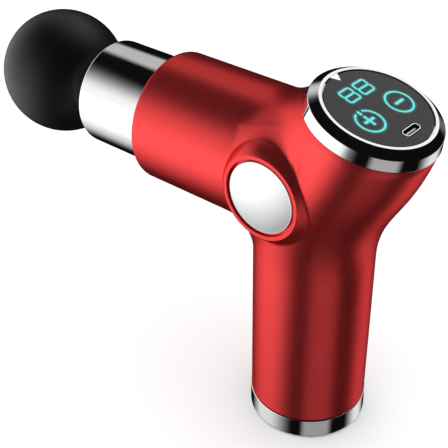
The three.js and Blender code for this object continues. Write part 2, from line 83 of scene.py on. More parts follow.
panel_mount = next(m for m in frame["record"]["mounts"] if m["name"] == "panel_face")
PANEL_CENTRE = np.array(panel_mount["pos_m"]) / MM
PANEL_NORMAL = np.array(panel_mount["axis"]) / np.linalg.norm(panel_mount["axis"])
PANEL_TILT = math.atan2(PANEL_NORMAL[0], PANEL_NORMAL[2])
LIMB_RADIUS = 24.3
SEAT_DEPTH = 6.5

GRID = 0.85  # spacing of the casing's surface
WALL = 1.9
AROUND = 160  # segments round a large turned piece
AROUND_SMALL = 64
SHARP_ANGLE = math.radians(40)
STEM_GROOVE = {"x": -80.0, "width": 2.0, "radius": 5.2}


def place(origin, x_axis, z_axis):
    """The matrix of a frame with its own heights along z_axis, in millimetres."""
    x_axis, z_axis = Vector(x_axis).normalized(), Vector(z_axis).normalized()
    y_axis = z_axis.cross(x_axis)
    turn = Matrix((x_axis, y_axis, z_axis)).transposed()
    return Matrix.Translation(Vector(origin)) @ turn.to_4x4()


UPRIGHT = Matrix.Identity(4)
BARREL = place((0, 0, BARREL_Z), (0, 1, 0), (1, 0, 0))
PANEL = place(PANEL_CENTRE, (math.cos(PANEL_TILT), 0, -math.sin(PANEL_TILT)), PANEL_NORMAL)
SIDES = {
    "right": place((HUB_X, 0, HUB_Z), (1, 0, 0), (0, -1, 0)),
    "left": place((HUB_X, 0, HUB_Z), (-1, 0, 0), (0, 1, 0)),
}


# ---------------------------------------------------------------- materials
class Surface:
    """A material with one Principled shader, and short ways to vary it over the surface."""

    def __init__(self, name, color, metallic=0.0, roughness=0.5, **sockets):
        self.material = bpy.data.materials.new(name)
        self.material.use_nodes = True
        self.material.diffuse_color = (*color, 1)
        self.tree = self.material.node_tree
        self.shader = self.tree.nodes["Principled BSDF"]
        self.color = color
        self.roughness = roughness
        self.set("Base Color", (*color, 1))
        self.set("Metallic", metallic)
        self.set("Roughness", roughness)
        for socket, value in sockets.items():
            self.set(socket.replace("_", " "), value)
        self.coordinates = self.node("ShaderNodeTexCoord").outputs["Object"]

    def set(self, socket, value):
        self.shader.inputs[socket].default_value = value

    def node(self, kind, **settings):
        made = self.tree.nodes.new(kind)
        for name, value in settings.items():
            setattr(made, name, value)
        return made

    def noise(self, size, detail=2.0):
        """Noise with features of that size, in millimetres, from 0 to 1."""
        made = self.node("ShaderNodeTexNoise")
        made.inputs["Scale"].default_value = 1 / (size * MM)
        made.inputs["Detail"].default_value = detail
        self.tree.links.new(self.coordinates, made.inputs["Vector"])
        return made.outputs["Fac"]

    def ranged(self, factor, low, high):
        """Spreads the middle part of a noise over a range."""
        made = self.node("ShaderNodeMapRange")
        made.inputs["From Min"].default_value = 0.3
        made.inputs["From Max"].default_value = 0.7
        made.inputs["To Min"].default_value = low
        made.inputs["To Max"].default_value = high
        self.tree.links.new(factor, made.inputs["Value"])
        return made.outputs["Result"]

    def vary_roughness(self, size, spread, detail=2.0):
        factor = self.noise(size, detail)
        varied = self.ranged(factor, self.roughness - spread, self.roughness + spread)
        self.tree.links.new(varied, self.shader.inputs["Roughness"])
        return self

    def vary_color(self, size, other, socket="Base Color"):
        """Mottles the colour towards another one."""
        mix = self.node("ShaderNodeMix", data_type="RGBA")
        colors = [s for s in mix.inputs if s.type == "RGBA"]
        colors[0].default_value = (*self.color, 1)
        colors[1].default_value = (*other, 1)
        self.tree.links.new(self.ranged(self.noise(size), 0, 1), mix.inputs["Factor"])
        result = next(s for s in mix.outputs if s.type == "RGBA")
        self.tree.links.new(result, self.shader.inputs[socket])
        return self

    def grain(self, size, depth):
        """Fine relief of that size and depth, in millimetres."""
        bump = self.node("ShaderNodeBump")
        bump.inputs["Distance"].default_value = depth * MM
        self.tree.links.new(self.noise(size), bump.inputs["Height"])
        self.tree.links.new(bump.outputs["Normal"], self.shader.inputs["Normal"])
        return self


def red_anodised():
    red = Surface("red_anodised", (0.9, 0.075, 0.075), 0.94, 0.31, Specular_Tint=(0.75, 0.42, 0.42, 1))
    return red.vary_color(0.35, (0.78, 0.057, 0.058)).vary_roughness(0.5, 0.03).grain(0.3, 0.003)


def cap_satin():
    satin = Surface("cap_satin", (0.86, 0.87, 0.88), 1.0, 0.26)
    return satin.vary_color(6, (0.83, 0.84, 0.85)).vary_roughness(0.4, 0.03).grain(0.25, 0.002)


def mirror(name, roughness):
    bright = Surface(name, (0.93, 0.93, 0.935), 1.0, roughness)
    return bright.vary_color(9, (0.9, 0.9, 0.905)).vary_roughness(4, 0.012, detail=4)


def ball_foam():
    foam = Surface("ball_foam", (0.001, 0.001, 0.0012), 0.0, 0.47, Specular_IOR_Level=0.5)
    return foam.vary_color(1.2, (0.0016, 0.0016, 0.0018)).vary_roughness(0.8, 0.05).grain(0.5, 0.012)


def panel_glass():
    glass = Surface("panel_glass", (0.004, 0.004, 0.0045), 0.0, 0.12, IOR=1.42)
    return glass.vary_color(5, (0.006, 0.0055, 0.006)).vary_roughness(3, 0.015, detail=3)


def moulded(name, color, roughness=0.5, grain=0.3, mottle=0.85):
    plastic = Surface(name, color, 0.0, roughness)
    plastic.vary_color(1.5, tuple(c * mottle for c in color)).vary_roughness(0.7, 0.05)
    return plastic.grain(grain, 0.008)


def machined(name, color, roughness):
    metal = Surface(name, color, 1.0, roughness)
    metal.vary_color(2, tuple(c * 0.9 for c in color)).vary_roughness(0.6, 0.05)
    return metal.grain(0.15, 0.002)


def winding():
    copper = Surface("winding", (0.62, 0.27, 0.13), 1.0, 0.35)
    return copper.vary_color(0.6, (0.45, 0.17, 0.08)).vary_roughness(0.5, 0.06).grain(0.3, 0.05)


def lit(name, color):
    """Print on the glass that glows in its own colour, and the painted glow round that print."""
    lamp = Surface(name, (0.01, 0.02, 0.02), 0.0, 0.3)
    lamp.color = color
    lamp.vary_color(1.1, tuple(c * 0.88 for c in color), socket="Emission Color")
    lamp.set("Emission Strength", 1.0)
    return lamp


SURFACES = {
    "red_anodised": red_anodised(),
    "cap_satin": cap_satin(),
    "sleeve_bright": mirror("sleeve_bright", 0.07),
    "chrome": mirror("chrome", 0.04),
    "ball_foam": ball_foam(),
    "black_rubber": moulded("black_rubber", (0.012, 0.012, 0.013), 0.75),
    "panel_glass": panel_glass(),
    "black_plastic": moulded("black_plastic", (0.014, 0.014, 0.016), 0.5),
    "bush_plastic": moulded("bush_plastic", (0.79, 0.76, 0.7), 0.42),
    "aluminium": machined("aluminium", (0.72, 0.73, 0.74), 0.35),
    "steel": machined("steel", (0.56, 0.57, 0.58), 0.25),
    "brass": machined("brass", (0.78, 0.55, 0.24), 0.28),
    "winding": winding(),
    "circuit_board": moulded("circuit_board", (0.012, 0.12, 0.045), 0.4, grain=0.5, mottle=0.7),
    "display": lit("display", (0.12, 0.78, 0.74)),
    "cell_can": moulded("cell_can", (0.05, 0.2, 0.5), 0.35),
    "pack_wrap": moulded("pack_wrap", (0.02, 0.09, 0.3), 0.4, grain=1.5),
    "lead_red": moulded("lead_red", (0.5, 0.02, 0.02), 0.45),
    "lead_black": moulded("lead_black", (0.012, 0.012, 0.012), 0.45),
    "lead_yellow": moulded("lead_yellow", (0.6, 0.36, 0.03), 0.45),
}
# Painted glow: a faint emitting copy of the icons, wider than them, that stands for the light they spread into
# the glass.
HALO = lit("display_halo", (0.0, 0.05, 0.058))
# Plain white for the triangle on the glass at the bezel's inner edge.
TRIANGLE_WHITE = moulded("panel_triangle_white", (0.85, 0.85, 0.85), 0.4, mottle=0.93)


# ---------------------------------------------------------------- turned outlines and meshes
def filleted(corners, closed=True, steps=6):
    """The points of an outline, with an arc at each corner that names a fillet."""
    points = []
    last = len(corners) - 1
    for i, corner in enumerate(corners):
        point = np.array(corner[:2], float)
        fillet = corner[2] if len(corner) > 2 else 0
        if not fillet or (not closed and i in (0, last)):
            points.append(tuple(point))
            continue
        back = np.array(corners[i - 1][:2], float) - point
        on = np.array(corners[(i + 1) % len(corners)][:2], float) - point
        back, on = back / np.linalg.norm(back), on / np.linalg.norm(on)
        half = math.acos(np.clip(back @ on, -1, 1)) / 2
        centre = point + (back + on) / np.linalg.norm(back + on) * fillet / math.sin(half)
        arm = point + back * fillet / math.tan(half) - centre
        sweep = math.copysign(math.pi - 2 * half, on[0] * back[1] - on[1] * back[0])
        for k in range(steps + 1):
            c, s = math.cos(sweep * k / steps), math.sin(sweep * k / steps)
            points.append((centre[0] + c * arm[0] - s * arm[1], centre[1] + s * arm[0] + c * arm[1]))
    return points


def turn(bm, outline, where, segments, closed=True):
    """Adds the solid that an outline makes when it turns round its axis."""
    rings = []
    for radius, height in outline:
        if radius < 1e-6:
            rings.append([bm.verts.new(where @ Vector((0, 0, height)))] * segments)
            continue
        ring = []
        for k in range(segments):
            angle = 2 * math.pi * k / segments
            spot = Vector((radius * math.cos(angle), radius * math.sin(angle), height))
            ring.append(bm.verts.new(where @ spot))
        rings.append(ring)
    pairs = list(zip(rings, rings[1:]))
    if closed and outline[0][0] > 1e-6:
        pairs.append((rings[-1], rings[0]))
    for low, high in pairs:
        for k in range(segments):
            n = (k + 1) % segments
            corners = list(dict.fromkeys((low[k], low[n], high[n], high[k])))
            if len(corners) > 2:
                bm.faces.new(corners)


def finish_mesh(bm, name, surface, body, replaced=(), weighted=True):
    """Turns a bmesh in millimetres into a piece that rides on a body and stands for CAD nodes."""
    bmesh.ops.recalc_face_normals(bm, faces=bm.faces)
    bmesh.ops.scale(bm, vec=(MM, MM, MM), verts=bm.verts)
    mesh = bpy.data.meshes.new(name)
    bm.to_mesh(mesh)
    bm.free()
    mesh.shade_smooth()
    mesh.set_sharp_from_angle(angle=SHARP_ANGLE)
    mesh.materials.append(surface.material)
    piece = bpy.data.objects.new(name, mesh)
    bpy.context.scene.collection.objects.link(piece)
    if weighted:
        normals = piece.modifiers.new("even_shading", "WEIGHTED_NORMAL")
        normals.keep_sharp = True
    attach(piece, body)
    if replaced:
        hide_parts(*replaced)
    return piece


def detail_piece(bm, node, slot, body="housing"):
    """The finer piece that stands for one CAD node."""
    return finish_mesh(bm, f"{node}_detail", SURFACES[slot], body, (node,))


def turned_piece(node, corners, where, slot, body="housing", segments=AROUND, closed=True):
    bm = bmesh.new()
    turn(bm, filleted(corners, closed), where, segments, closed)
    return detail_piece(bm, node, slot, body)


def at_height(points, height):
    """A loop at one height over the panel's glass, for loops_solid."""
    return [(x, y, height) for x, y in points]


def loops_solid(bm, loops, where, closed=True):
    """Joins loops of equal counts, each a list of (x, y, height), into a solid."""
    rings = [[bm.verts.new(where @ Vector(p)) for p in loop] for loop in loops]
    pairs = list(zip(rings, rings[1:])) + ([(rings[-1], rings[0])] if closed else [])
    for low, high in pairs:
        for k in range(len(low)):
            n = (k + 1) % len(low)
            bm.faces.new((low[k], low[n], high[n], high[k]))
    if not closed:
        bm.faces.new(rings[0])
        bm.faces.new(rings[-1])


# ---------------------------------------------------------------- casing
BOSS = {"radius": 16.1, "face": 27.6, "recess_radius": 14.6, "recess_floor": 26.0, "surround": 4.0}
# The cone behind a boss. Its fillet against the body grows from the crease to its full size further in.
SKIRT = {
    "radius": 20.3,
    "shoulder": 3.5,
    "crease": 0.7,
    "fillet": 6.5,
    "fillet_from": 23.0,
    "fillet_full": 17.5,
}
# The trunk is the handle and the limb in one. Its centre line is straight up to a height, then a Bezier curve
# that arrives at the panel at an angle, and it bulges halfway up the curve. Weight scales its distance where
# it joins the barrel's.
TRUNK = {
    "straight_to": 76.5,
    "lower_handle": 28.6,
    "upper_handle": 30.0,
    "arrival": math.radians(16.7),
    "bulge": 1.6,
    "weight": 0.93,
}
BARREL_FILLET = {"below": 11.0, "above": 13.5, "blend": 14.0, "least": 0.01}
BARREL_ROOT = 4.0
LIMB_TOP = {"spread": 0.45, "curl": 0.11, "edge": 2.0}
# How far from each opening the skin is cut off for a turned lip, and how far the lip's first corner stays
# clear of that cut.
LIP = {"mouth": 3.0, "foot": 0.3, "seat": 0.3, "boss": 0.4, "clear": 0.02}
BOSS_RIM = BOSS["face"] - LIP["boss"]


def eased(t):
    """A smooth step from 0 to 1."""
    return t * t * (3 - 2 * t)


def round_join(a, b, radius):
    """Union of two distances with a circular fillet between them."""
    u, v = np.maximum(radius - a, 0), np.maximum(radius - b, 0)
    return np.maximum(radius, np.minimum(a, b)) - np.hypot(u, v)


def round_meet(a, b, radius):
    """Intersection of two distances with a rounded edge between them."""
    return -round_join(-a, -b, radius)


def trunk_line(t):
    """Centre and its derivative along the trunk, from the straight handle at 0 to the panel at 1."""
    start = np.array([0, TRUNK["straight_to"]])
    low = start + np.array([0, TRUNK["lower_handle"]])
    end = PANEL_CENTRE[[0, 2]]
    arrival = TRUNK["arrival"]
    high = end - TRUNK["upper_handle"] * np.array([math.sin(arrival), math.cos(arrival)])
    m = 1 - t
    centre, slope = [], []
    for k in (0, 1):
        p0, p1, p2, p3 = start[k], low[k], high[k], end[k]
        centre.append(m**3 * p0 + 3 * m * m * t * p1 + 3 * m * t * t * p2 + t**3 * p3)
        slope.append(3 * m * m * (p1 - p0) + 6 * m * t * (p2 - p1) + 3 * t * t * (p3 - p2))
    return centre, slope


def trunk_distance(x, y, z):
    """Distance to the round trunk, whose sections turn from level to the panel's tilt, and how squarely its
    surface faces sideways."""
    rounds, least_rate = 6, -15
    start = TRUNK["straight_to"]
    t = np.clip((z - start) / (PANEL_CENTRE[2] - start), 0, 1)
    for _ in range(rounds):
        (cx, cz), (sx, sz) = trunk_line(t)
        angle = PANEL_TILT * eased(t)
        nx, nz = np.sin(angle), np.cos(angle)
        off = (x - cx) * nx + (z - cz) * nz
        rate = ((x - cx) * nz - (z - cz) * nx) * PANEL_TILT * 6 * t * (1 - t) - (sx * nx + sz * nz)
        t = np.clip(t - off / np.minimum(rate, least_rate), 0, 1)
    (cx, cz), _ = trunk_line(t)
    angle = PANEL_TILT * eased(t)
    across = (x - cx) * np.cos(angle) - (z - cz) * np.sin(angle)
    halfway = 16 * (t * (1 - t)) ** 2
    radius = HANDLE_RADIUS + (LIMB_RADIUS - HANDLE_RADIUS) * eased(t) + TRUNK["bulge"] * halfway
    out = np.hypot(across, y)
    return out - radius, y / np.maximum(out, 1e-9)


def barrel_distance(x, y, z):
    """Distance to the barrel, and how squarely its surface faces sideways."""
    out = np.hypot(y, z - BARREL_Z)
    side, end = out - BARREL_RADIUS, x - BARREL_ROOT
    distance = np.minimum(np.maximum(side, end), 0) + np.hypot(np.maximum(side, 0), np.maximum(end, 0))
    return distance, y / np.maximum(out, 1e-9)


def limb_top_distance(x, y, z):
    """Distance to a bell that opens downwards from the bezel's foot, which keeps the fillet clear of it."""
    dx, dz = x - PANEL_CENTRE[0], z - PANEL_CENTRE[2]
    across = dx * math.cos(PANEL_TILT) - dz * math.sin(PANEL_TILT)
    down = np.maximum(-(dx * math.sin(PANEL_TILT) + dz * math.cos(PANEL_TILT)) - SEAT_DEPTH, -1)
    bell = LIMB_RADIUS + LIMB_TOP["spread"] * down + LIMB_TOP["curl"] * down * down
    return (np.hypot(across, y) - bell) / math.hypot(1, LIMB_TOP["spread"])


def casing_distance(points):
    """Signed distance to the casing's outer surface, before its ends are trimmed."""
    x, y, z = points[..., 0], np.abs(points[..., 1]), points[..., 2]
    share = eased(np.clip((z - BARREL_Z) / (2 * BARREL_FILLET["blend"]) + 0.5, 0, 1))
    fillet = BARREL_FILLET["below"] + (BARREL_FILLET["above"] - BARREL_FILLET["below"]) * share
    trunk, trunk_sideways = trunk_distance(x, y, z)
    barrel, barrel_sideways = barrel_distance(x, y, z)
    # The two need no fillet on the casing's sides, where they run into each other level.
    fillet = fillet * (1 - (trunk_sideways * barrel_sideways) ** 2) + BARREL_FILLET["least"]
    body = round_join(TRUNK["weight"] * trunk, barrel, fillet)
    body = round_meet(body, limb_top_distance(x, y, z), LIMB_TOP["edge"])
    out = np.hypot(x - HUB_X, z - HUB_Z)
    cone = (out - BOSS["radius"] - (BOSS["face"] - y)) / math.sqrt(2)
    boss = round_meet(cone, out - SKIRT["radius"], SKIRT["shoulder"])
    deep = np.clip((SKIRT["fillet_from"] - y) / (SKIRT["fillet_from"] - SKIRT["fillet_full"]), 0, 1)
    return round_join(body, boss, SKIRT["crease"] + SKIRT["fillet"] * deep)


def slope_of(distance, points, reach=0.02):
    """Unit gradient of a distance at points."""
    steps = reach * np.eye(3)
    gradient = np.stack([distance(points + s) - distance(points - s) for s in steps], -1)
    return gradient / np.maximum(np.linalg.norm(gradient, axis=-1, keepdims=True), 1e-9)


def surface_net(field, origin, step):
    """Points and quads of the surface where a sampled field is zero: one point in each crossed cell."""
    size = np.array(field.shape) - 1
    total, count = np.zeros((*size, 3)), np.zeros(size)
    for axis in range(3):
        for s, t in product((0, 1), repeat=2):
            start = np.insert([s, t], axis, 0)
            end = np.insert([s, t], axis, 1)
            a, b = (field[tuple(slice(o, o + n) for o, n in zip(corner, size))] for corner in (start, end))
            crossed = (a < 0) != (b < 0)
            share = np.where(crossed, a / np.where(crossed, a - b, 1), 0)
            total += crossed[..., None] * (start + share[..., None] * (end - start))
            count += crossed
    used = count > 0
    index = np.full(used.shape, -1)
    index[used] = np.arange(used.sum())
    points = origin + step * (np.argwhere(used) + total[used] / count[used][:, None])
    quads = []
    for axis in range(3):
        order = [(axis + k) % 3 for k in range(3)]
        f, cells = field.transpose(order), index.transpose(order)
        low, high = f[:-1, 1:-1, 1:-1], f[1:, 1:-1, 1:-1]
        corners = (cells[:, :-1, :-1], cells[:, 1:, :-1], cells[:, 1:, 1:], cells[:, :-1, 1:])
        around = np.stack(corners, -1)
        quads.append(around[(low < 0) & (high >= 0)])
        quads.append(around[(low >= 0) & (high < 0)][:, ::-1])
    return points, np.concatenate(quads)


def relaxed(points, quads, distance, rounds=8, pull=0.6):
    """Evens out the net's points and puts each back on the surface."""
    ends = np.concatenate([quads, np.roll(quads, 1, axis=1)]).reshape(-1)
    others = np.concatenate([np.roll(quads, 1, axis=1), quads]).reshape(-1)
    count = np.bincount(ends, minlength=len(points))[:, None]
    for _ in range(rounds):
        sums = [np.bincount(ends, points[others, k], len(points)) for k in range(3)]
        points = (1 - pull) * points + pull * np.stack(sums, -1) / count
        for _ in range(2):
            points = points - distance(points)[:, None] * slope_of(distance, points)
    return points


def everywhere(_):
    """The test that every spot passes."""
    return True


def over_boss(side):
    """A test for the spots on the outward end of one side's boss."""
    back = side.inverted()

    def test(spot):
        local = back @ spot
        return local.z > 0 and math.hypot(local.x, local.y) < BOSS["radius"] + BOSS["surround"]

    return test


def trim(bm, point, normal, within=everywhere):
    """Cuts away what lies past a plane, among the vertices that pass a test."""
    kept = [v for v in bm.verts if within(v.co)]
    near = set(kept)
    faces = [f for f in bm.faces if all(v in near for v in f.verts)]
    edges = list(dict.fromkeys(e for f in faces for e in f.edges))
    bmesh.ops.bisect_plane(bm, geom=kept + edges + faces, plane_co=point, plane_no=normal, dist=1e-4)
    past = [v for v in bm.verts if within(v.co) and (v.co - Vector(point)).dot(Vector(normal)) > 1e-3]
    bmesh.ops.delete(bm, geom=past, context="VERTS")


def sew(bm, edges, outline, where, inner):
    """Runs an open edge along an outline round the frame's axis, and joins it to the inner skin, or to the
    axis where inner is None."""
    back = where.inverted()
    chains = {}
    centre = bm.verts.new(where @ Vector((0, 0, outline[-1][1]))) if inner is None else None
    for v in dict.fromkeys(v for e in edges for v in e.verts):
        local = back @ v.co
        angle = math.atan2(local.y, local.x)
        spots = [Vector((r * math.cos(angle), r * math.sin(angle), h)) for r, h in outline]
        made = [bm.verts.new(where @ s) for s in spots]
        chains[v] = [v, *made, inner[v] if inner else centre]
    for e in edges:
        a, b = (chains[v] for v in e.verts)
        for k in range(len(a) - 1):
            bm.faces.new(list(dict.fromkeys((a[k], b[k], b[k + 1], a[k + 1]))))


def open_edges(bm, where, height, reach):
    """The boundary edges at a height of a frame, within reach of its axis."""
    back = where.inverted()

    def on(v):
        local = back @ v.co
        return abs(local.z - height) < 0.01 and math.hypot(local.x, local.y) < reach

    return [e for e in bm.edges if e.is_boundary and all(on(v) for v in e.verts)]


def outer_skin():
    """The blended surface, cut open at the mouth, the foot, the panel's seat and both bosses."""
    margin, headroom = 3, 8
    low = np.array([MOUTH_X - margin, -BOSS["face"] - margin, SHELL_LOW[2] - margin])
    high = np.array([SHELL_HIGH[0] + margin, BOSS["face"] + margin, PANEL_CENTRE[2] + headroom])
    counts = np.ceil((high - low) / GRID).astype(int) + 1
    axes = [low[k] + GRID * np.arange(counts[k]) for k in range(3)]
    grid = np.stack(np.meshgrid(*axes, indexing="ij"), -1)
    points, quads = surface_net(casing_distance(grid), low, GRID)
    points = relaxed(points, quads, casing_distance)

    bm = bmesh.new()
    verts = [bm.verts.new(p) for p in points]
    for quad in quads:
        bm.faces.new([verts[i] for i in quad])
    trim(bm, (MOUTH_X + LIP["mouth"], 0, 0), (-1, 0, 0))
    trim(bm, (0, 0, SHELL_LOW[2] + LIP["foot"]), (0, 0, -1))
    trim(bm, PANEL @ Vector((0, 0, -SEAT_DEPTH - LIP["seat"])), PANEL_NORMAL)
    for side in SIDES.values():
        trim(bm, side @ Vector((0, 0, BOSS_RIM)), side.to_3x3() @ Vector((0, 0, 1)), over_boss(side))
    return bm


def add_inner_skin(bm):
    """Adds the inner side of a skin, and says which inner vertex belongs to each outer one."""
    outer, faces = list(bm.verts), list(bm.faces)
    spots = np.array([v.co for v in outer])
    inward = spots - WALL * slope_of(casing_distance, spots)
    out = np.hypot(inward[:, 0] - HUB_X, inward[:, 2] - HUB_Z)
    ceiling = np.where(out < BOSS["radius"] + 1, BOSS["recess_floor"] - WALL, np.inf)
    inward[:, 1] = np.clip(inward[:, 1], -ceiling, ceiling)
    inner = {v: bm.verts.new(p) for v, p in zip(outer, inward)}
    for f in faces:
        bm.faces.new([inner[v] for v in reversed(f.verts)])
    return inner


def wall_lip(radius, end, reach):
    """The outline of a wall's end, from its outer skin round to its inner one."""
    rounding = 0.2
    return filleted([
        (radius, end + reach),
        (radius, end, rounding),
        (radius - WALL, end, rounding),
        (radius - WALL, end + reach),
    ], closed=False)


def casing():
    """One closed shell: the blended outer skin, its inner skin, and turned lips at every opening."""
    bm = outer_skin()
    mouth = open_edges(bm, BARREL, MOUTH_X + LIP["mouth"], BARREL_RADIUS + 1)
    bottom = open_edges(bm, UPRIGHT, SHELL_LOW[2] + LIP["foot"], HANDLE_RADIUS + 1)
    seat = open_edges(bm, PANEL, -SEAT_DEPTH - LIP["seat"], LIMB_RADIUS + 1)
    boss_reach = BOSS["radius"] + BOSS["surround"]
    bosses = [(side, open_edges(bm, side, BOSS_RIM, boss_reach)) for side in SIDES.values()]
    inner = add_inner_skin(bm)

    bore, mouth_edge = SLEEVE_RADIUS + 0.3, 1.2
    sew(bm, mouth, filleted([
        (BARREL_RADIUS, MOUTH_X + mouth_edge + 0.6),
        (BARREL_RADIUS, MOUTH_X, mouth_edge),
        (bore, MOUTH_X, 0.2),
        (bore, MOUTH_X + LIP["mouth"]),
    ], closed=False), BARREL, inner)
    sew(bm, bottom, wall_lip(HANDLE_RADIUS, SHELL_LOW[2], LIP["foot"] - LIP["clear"]), UPRIGHT, inner)
    sew(bm, seat, wall_lip(LIMB_RADIUS, -SEAT_DEPTH, LIP["clear"] - LIP["seat"]), PANEL, inner)
    for side, edges in bosses:
        sew(bm, edges, filleted([
            (BOSS["radius"] + LIP["boss"] - LIP["clear"], BOSS_RIM + LIP["clear"]),
            (BOSS["radius"], BOSS["face"], 0.3),
            (BOSS["recess_radius"], BOSS["face"], 0.25),
            (BOSS["recess_radius"], BOSS["recess_floor"]),
        ], closed=False), side, None)
        middle = bm.verts.new(side @ Vector((0, 0, BOSS["recess_floor"] - WALL)))
        for e in edges:
            a, b = (inner[v] for v in e.verts)
            bm.faces.new((a, b, middle))
    detail_piece(bm, "body_shell", "red_anodised")


# ---------------------------------------------------------------- sleeve and head
def front_sleeve():
    front, rear = SLEEVE_LOW[0], SLEEVE_HIGH[0]
    flange, flange_front = SLEEVE_HIGH[2] - BARREL_Z, rear - 2
    bore = SLEEVE_RADIUS - 0.8
    mouth, mouth_back = 12.6, front + 1.5
    turned_piece("front_sleeve", [
        (mouth, front, 0.4),
        (SLEEVE_RADIUS, front, 1.5),
        (SLEEVE_RADIUS, flange_front),
        (flange, flange_front, 0.2),
        (flange, rear, 0.2),
        (bore, rear),
        (bore, mouth_back, 0.4),
        (mouth, mouth_back),
    ], BARREL, "sleeve_bright")
    seal_bore, seal_radius, seal_front, seal_back = 8.9, 12.3, front + 0.2, front + 1.4
    turned_piece("front_seal", [
        (seal_bore, seal_front, 0.3),
        (seal_radius, seal_front, 0.2),
        (seal_radius, seal_back),
        (seal_bore, seal_back, 0.3),
    ], BARREL, "black_rubber", segments=AROUND_SMALL)


def massage_ball():
    radius = BALL_HIGH[1]
    centre = BALL_LOW[0] + radius
    cavity, neck, neck_edge = radius - 2.2, 7.1, 0.6
    rings = 72

    def arc(size, start, end):
        angles = [start + (end - start) * k / rings for k in range(rings + 1)]
        return [(size * math.sin(a), centre - size * math.cos(a)) for a in angles]

    outer = arc(radius, 0, math.pi - math.asin((neck + neck_edge) / radius))
    inner = arc(cavity, math.pi - math.asin(neck / cavity), 0)
    lip = [(neck, centre + math.sqrt(radius**2 - neck**2) - neck_edge)]
    outer[0], inner[-1] = (0, outer[0][1]), (0, inner[-1][1])
    bm = bmesh.new()
    turn(bm, outer + lip + inner, BARREL, AROUND, closed=False)
    ball = detail_piece(bm, "massage_ball", "ball_foam", "head")


def head_stem():
    (front, _, _), (rear, _, _) = span("head_stem")
    bore, radius, chamfer = 3.6, 6.8, 1.0
    nose_radius, barb_radius, barb = 7.5, 9.5, front + 2.5
    collar_radius, collar_back = 8.6, SLEEVE_LOW[0] + 0.2
    collar_front = collar_back - 3.7
    groove_front = STEM_GROOVE["x"] - STEM_GROOVE["width"] / 2
    groove_back = STEM_GROOVE["x"] + STEM_GROOVE["width"] / 2
    turned_piece("head_stem", [
        (bore, front),
        (nose_radius, front, 0.4),
        (barb_radius, barb, 0.3),
        (radius, barb),
        (radius, collar_front),
        (collar_radius, collar_front, 0.4),
        (collar_radius, collar_back, 0.3),
        (radius, collar_back),
        (radius, groove_front, 0.2),
        (STEM_GROOVE["radius"], groove_front, 0.2),
        (STEM_GROOVE["radius"], groove_back, 0.2),
        (radius, groove_back, 0.2),
        (radius, rear - chamfer),
        (radius - chamfer, rear),
        (bore, rear),
    ], BARREL, "black_plastic", body="head", segments=96)


def stem_ring():
    ring, wire = 6.15, 0.65
    steps = 16
    angles = [2 * math.pi * k / steps for k in range(steps)]
    corners = [(ring + wire * math.cos(a), STEM_GROOVE["x"] + wire * math.sin(a)) for a in angles]
    turned_piece("stem_ring", corners, BARREL, "black_rubber", body="head", segments=AROUND_SMALL)


# ---------------------------------------------------------------- side caps, foot and panel
def side_caps():
    """Domed discs in the bosses, each a shallow paraboloid down to a rounded rim."""
    face, back, dome_radius = 28.5, 26.3, 66
    rim_width, steps = 0.5, 10
    radius = SIDE_CAP_RADIUS
    crown = [(r, face - r * r / (2 * dome_radius)) for r in np.linspace(0, radius - rim_width, steps)]
    rim = filleted([
        crown[-1],
        (radius, crown[-1][1] - 0.02, 0.35),
        (radius, back, 0.15),
        (radius - 1, back),
    ], closed=False)
    for name, side in SIDES.items():
        bm = bmesh.new()
        turn(bm, [*crown, *rim, (0, back)], side, AROUND, closed=False)
        detail_piece(bm, f"side_cap_{name}", "cap_satin")


def foot():
    """The cup under the handle, with a well for the pad below and a spigot in the casing above."""
    radius, top = CAP_HIGH[0], SHELL_LOW[2] - 0.3
    well_radius, well_top = 22.3, 1.9
    edge_radius, edge_top = 22.8, 1.2
    spigot_radius, spigot_bore, cup_floor = 20.2, 19.2, 9
    turned_piece("bottom_cap", [
        (0, well_top),
        (well_radius, well_top),
        (well_radius, CAP_LOW[2]),
        (edge_radius, CAP_LOW[2], 0.2),
        (radius, edge_top, 0.4),
        (radius, top, 0.25),
        (spigot_radius, top),
        (spigot_radius, CAP_HIGH[2], 0.2),
        (spigot_bore, CAP_HIGH[2], 0.2),
        (spigot_bore, cup_floor),
        (0, cup_floor),
    ], UPRIGHT, "chrome", closed=False)
    turned_piece("base_pad", [
        (0, PAD_LOW[2]),
        (PAD_HIGH[0], PAD_LOW[2], 0.5),
        (PAD_HIGH[0], PAD_HIGH[2], 0.1),
        (0, PAD_HIGH[2]),
    ], UPRIGHT, "black_rubber", closed=False)


def panel_bezel():
    """A ring with a flat top, a chamfer, a tapered band, a skirt down the limb's bore and a ledge for the
    glass."""
    ledge_bore, glass_bore, ledge_top, ledge_bottom = 18, 19.45, -1.5, -3
    skirt_bore, skirt_radius, skirt_bottom = 20.2, 21, -9
    band_foot, band_top = (24.6, -6.2), (23.78, -1.95)
    top_radius, top = 20.7, 0.3
    turned_piece("panel_bezel", [
        (ledge_bore, ledge_bottom),
        (skirt_bore, ledge_bottom - 0.6),
        (skirt_bore, skirt_bottom),
        (skirt_radius, skirt_bottom),
        (skirt_radius, band_foot[1]),
        (*band_foot, 0.15),
        (*band_top, 0.5),
        (top_radius, top, 0.25),
        (glass_bore, top, 0.15),
        (glass_bore, ledge_top),
        (ledge_bore, ledge_top),
    ], PANEL, "chrome")


USB = {"x": 13.3, "width": 8.94, "height": 3.16, "wall": 0.35, "depth": 7.2, "proud": 0.1}


def stadium(width, height, steps=16):
    """Points round a slot with round ends, its length along y."""
    radius = height / 2
    reach = width / 2 - radius
    points = []
    for end in (1, -1):
        for k in range(steps + 1):
            angle = math.pi * (k / steps + (0 if end > 0 else 1))
            points.append((USB["x"] + radius * math.cos(angle), end * reach + radius * math.sin(angle)))
    return points


def slot_reach(dx, dy, reach, radius):
    """How far a ray from a slot's middle runs before it leaves the slot, which lies along y."""
    flat = radius / max(abs(dx), 1e-9)
    if flat * abs(dy) <= reach:
        return flat
    return reach * abs(dy) + math.sqrt(radius**2 - (reach * dx) ** 2)


